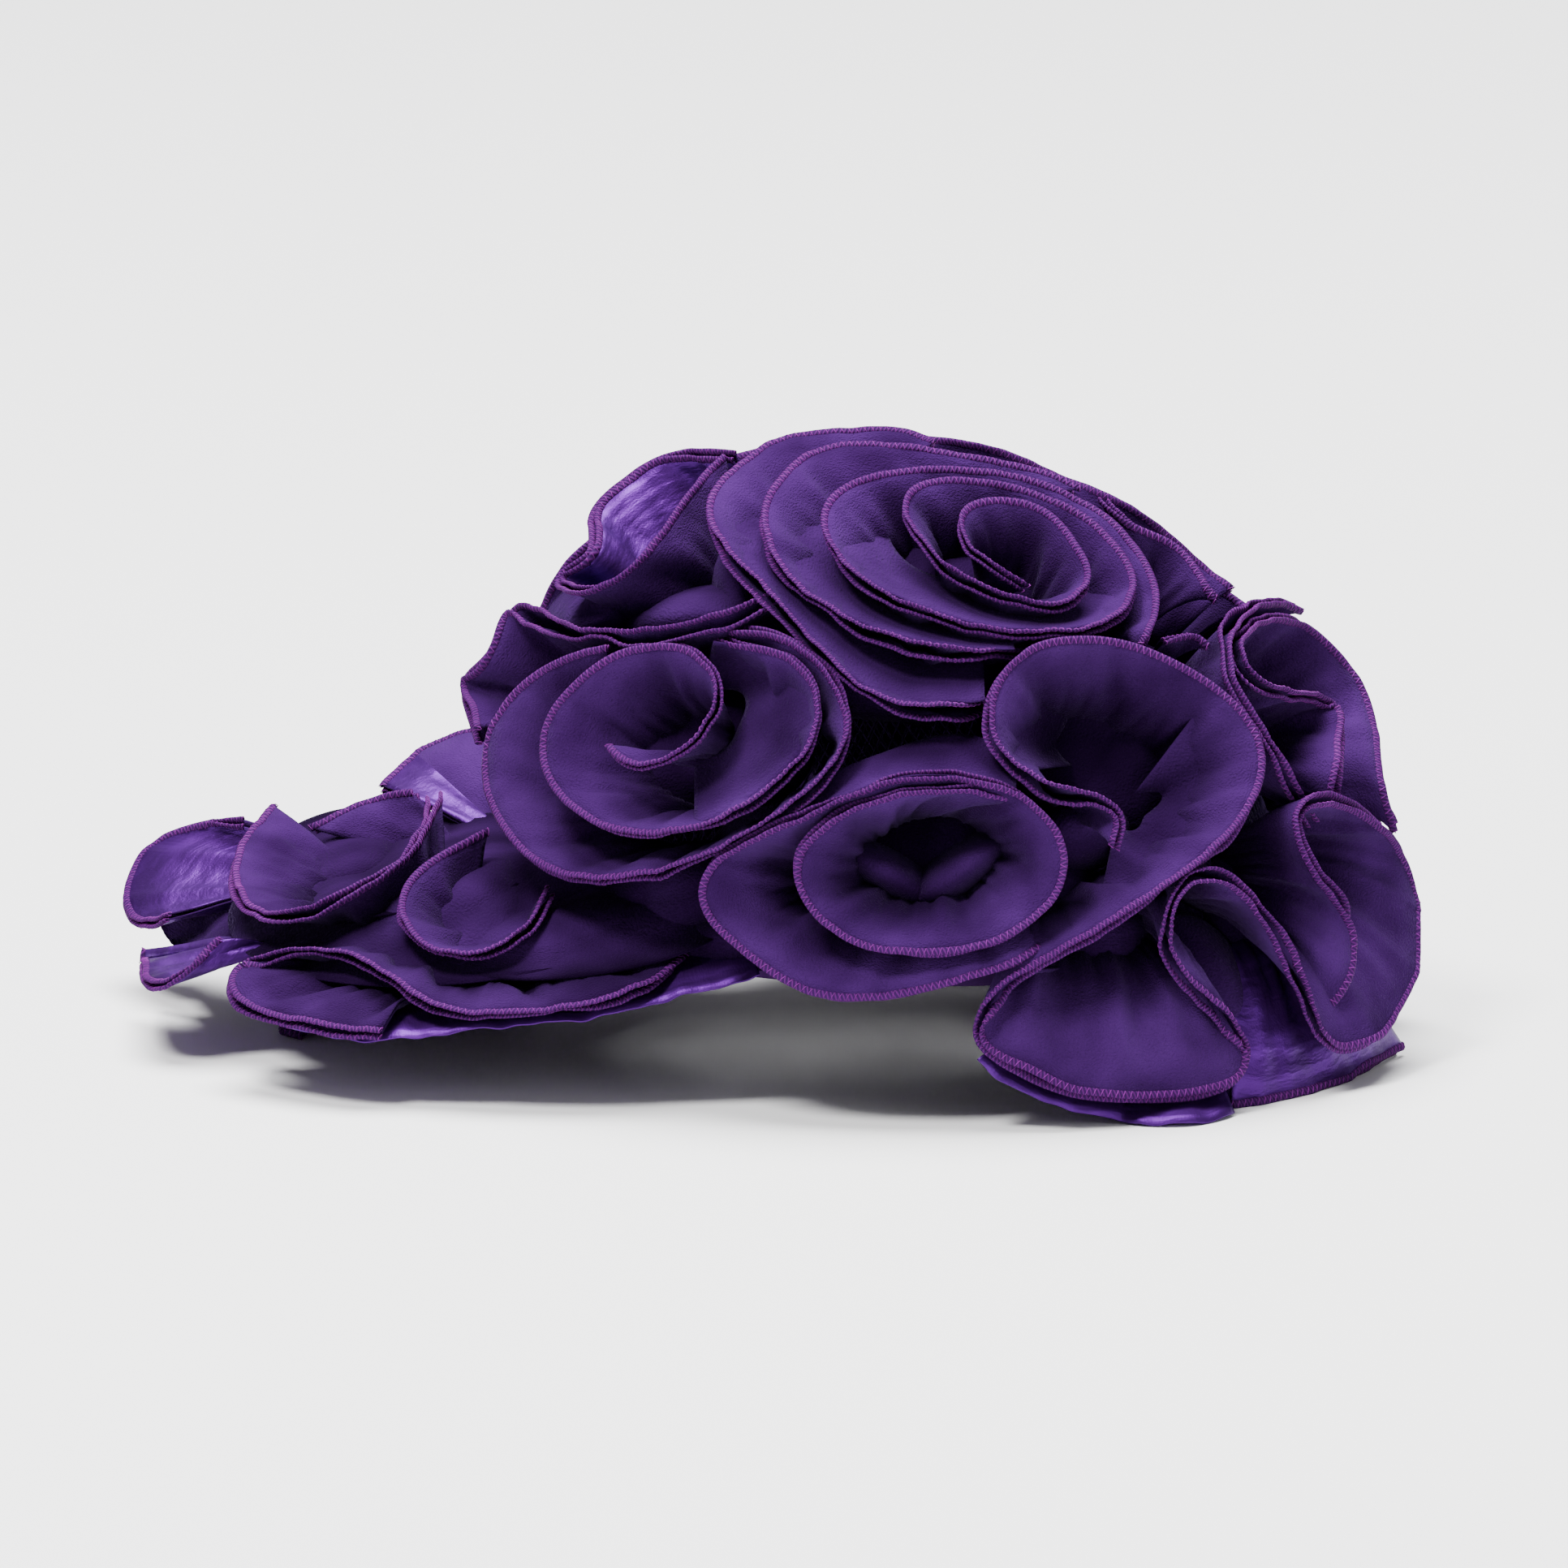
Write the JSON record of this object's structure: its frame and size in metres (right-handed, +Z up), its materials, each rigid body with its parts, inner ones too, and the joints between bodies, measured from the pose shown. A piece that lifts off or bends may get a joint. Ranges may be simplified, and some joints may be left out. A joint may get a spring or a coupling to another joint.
{
  "type": "rosette cap",
  "caption": "Soft peaked cap: a hollow net crown and a stiff curved peak, covered all over in standing crepe ruffles coiled into rosettes.",
  "frame": {"origin": "middle of the object's outline on the surface it rests on", "axes": "+Z up, -X towards the peak, -Y towards the wearer's left side, which the picture shows"},
  "size_m": [0.3404, 0.217, 0.164],
  "materials": {
    "net": "matte open net, deep purple",
    "crepe": "satin-back crepe, matte deep purple outside with a glossy violet reverse"
  },
  "bodies": {
    "root": {"crown_net": "net", "peak": "crepe", "peak_crest": "crepe", "peak_edge": "crepe", "peak_edge_right": "crepe", "peak_loop": "crepe", "peak_loop_fold": "crepe", "peak_small": "crepe", "peak_tip": "crepe", "peak_tip_low": "crepe", "peak_under": "crepe", "rosette_front_heart": "crepe", "rosette_front_heart_right": "crepe", "rosette_front_outer": "crepe", "rosette_front_outer_right": "crepe", "rosette_low": "crepe", "rosette_low_right": "crepe", "rosette_side": "crepe", "rosette_side_right": "crepe", "rosette_top_heart": "crepe", "rosette_top_heart_right": "crepe", "rosette_top_middle": "crepe", "rosette_top_middle_right": "crepe", "rosette_top_outer": "crepe", "rosette_top_outer_right": "crepe", "ruffle_back_fold": "crepe", "ruffle_back_inner": "crepe", "ruffle_back_inner_right": "crepe", "ruffle_back_outer": "crepe", "ruffle_back_outer_right": "crepe", "ruffle_back_top": "crepe", "ruffle_brow": "crepe", "ruffle_brow_right": "crepe", "ruffle_forehead": "crepe", "ruffle_forehead_right": "crepe", "ruffle_nape": "crepe", "ruffle_ridge": "crepe", "ruffle_tail": "crepe", "ruffle_tail_right": "crepe"}
  },
  "joints": []
}
